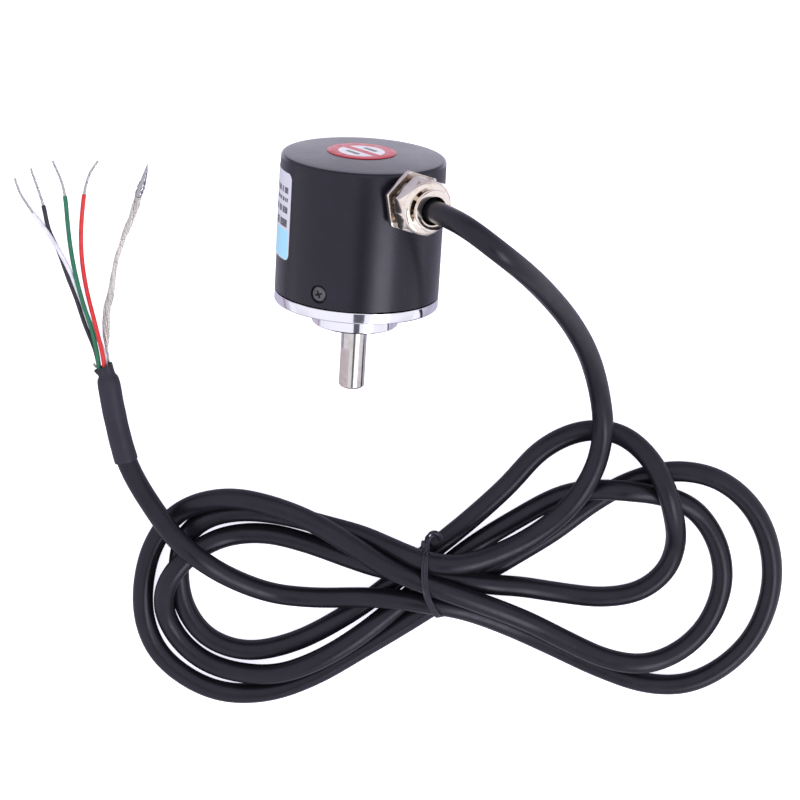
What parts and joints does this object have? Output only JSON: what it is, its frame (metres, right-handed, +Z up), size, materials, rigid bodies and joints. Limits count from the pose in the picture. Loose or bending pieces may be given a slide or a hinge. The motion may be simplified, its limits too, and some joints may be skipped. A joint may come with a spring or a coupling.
{
  "type": "rotary encoder",
  "caption": "Optical shaft encoder with a D-flat solid shaft, a round flange and boss, a black cup cover, a radial cable gland and a looped shielded cable.",
  "frame": {"origin": "on the surface that the encoder lies on, straight below the middle of its body and shaft taken together; the shaft axis is 19 mm above it", "axes": "+Y along the shaft axis from the shaft's tip to the cover's closed end, +Z up, +X towards the side that the cable gland leans to"},
  "size_m": [0.1889, 0.144, 0.0581],
  "materials": {
    "black_paint": "black satin paint, slightly orange-peeled",
    "aluminium": "bright turned aluminium with fine lathe rings",
    "stainless": "ground stainless steel",
    "bearing_steel": "polished bearing steel",
    "black_steel": "black-oxide steel, slightly glossy",
    "nickel": "bright nickel plate on brass",
    "brass": "bare machined brass",
    "rubber": "matte black rubber",
    "cable_sheath": "matte black PVC sheath",
    "board": "green solder mask",
    "epoxy": "black moulded epoxy",
    "nylon": "natural nylon",
    "clear_epoxy": "water-clear moulded epoxy",
    "glass": "clear glass with a chrome pattern",
    "label": "white and pale blue printed film",
    "red_film": "red and white printed film",
    "wire_white": "white PVC insulation",
    "wire_black": "black PVC insulation",
    "wire_green": "green PVC insulation",
    "wire_red": "red PVC insulation",
    "shield": "twisted tinned copper strands",
    "tie": "matte black plastic over wire"
  },
  "bodies": {
    "housing": {"flange_base": "aluminium", "cover": "black_paint", "cover_screw_1": "black_steel", "cover_screw_2": "black_steel", "cover_screw_3": "black_steel", "cover_seal": "rubber", "front_bearing_outer_ring": "bearing_steel", "rear_bearing_outer_ring": "bearing_steel", "preload_washer": "bearing_steel", "led_holder": "epoxy", "emitter_led": "clear_epoxy", "reticle": "glass", "reticle_holder": "epoxy", "photodetector": "epoxy", "circuit_board": "board", "board_standoff_1": "brass", "board_standoff_2": "brass", "board_standoff_3": "brass", "board_screw_1": "bearing_steel", "board_screw_2": "bearing_steel", "board_screw_3": "bearing_steel", "line_driver_ic": "epoxy", "comparator_ic": "epoxy", "capacitor_1": "nylon", "capacitor_2": "nylon", "board_header": "nylon", "lead_plug": "nylon", "inner_leads": "cable_sheath", "gland_body": "nickel", "gland_cap": "nickel", "gland_gasket": "rubber", "gland_seal": "rubber", "gland_lock_nut": "nickel", "side_label": "label", "end_sticker": "red_film", "cable_lead": "cable_sheath", "cable_loops": "cable_sheath", "cable_tail": "cable_sheath", "end_sleeve": "rubber", "wire_white": "wire_white", "wire_black": "wire_black", "wire_green": "wire_green", "wire_red": "wire_red", "shield_pigtail": "shield", "twist_tie": "tie"},
    "rotor": {"shaft": "stainless", "front_bearing_inner_ring": "bearing_steel", "rear_bearing_inner_ring": "bearing_steel", "inner_spacer": "bearing_steel", "shaft_retaining_ring": "black_steel", "disc_hub": "brass", "hub_set_screw": "black_steel", "code_disc": "glass", "disc_clamp_ring": "brass"},
    "front_cage": {"front_bearing_balls_and_cage": "bearing_steel"},
    "rear_cage": {"rear_bearing_balls_and_cage": "bearing_steel"}
  },
  "joints": [
    {"name": "shaft_spin", "type": "hinge", "parent": "housing", "child": "rotor", "pos_m": [0, 0, 0.019], "axis": [0, 1, 0], "continuous": true},
    {"name": "front_cage_spin", "type": "hinge", "parent": "housing", "child": "front_cage", "pos_m": [0, 0, 0.019], "axis": [0, 1, 0], "continuous": true},
    {"name": "rear_cage_spin", "type": "hinge", "parent": "housing", "child": "rear_cage", "pos_m": [0, 0, 0.019], "axis": [0, 1, 0], "continuous": true}
  ],
  "couplings": [
    {"joint": "front_cage_spin", "follows": "shaft_spin", "ratio": 0.4091},
    {"joint": "rear_cage_spin", "follows": "shaft_spin", "ratio": 0.4091}
  ]
}
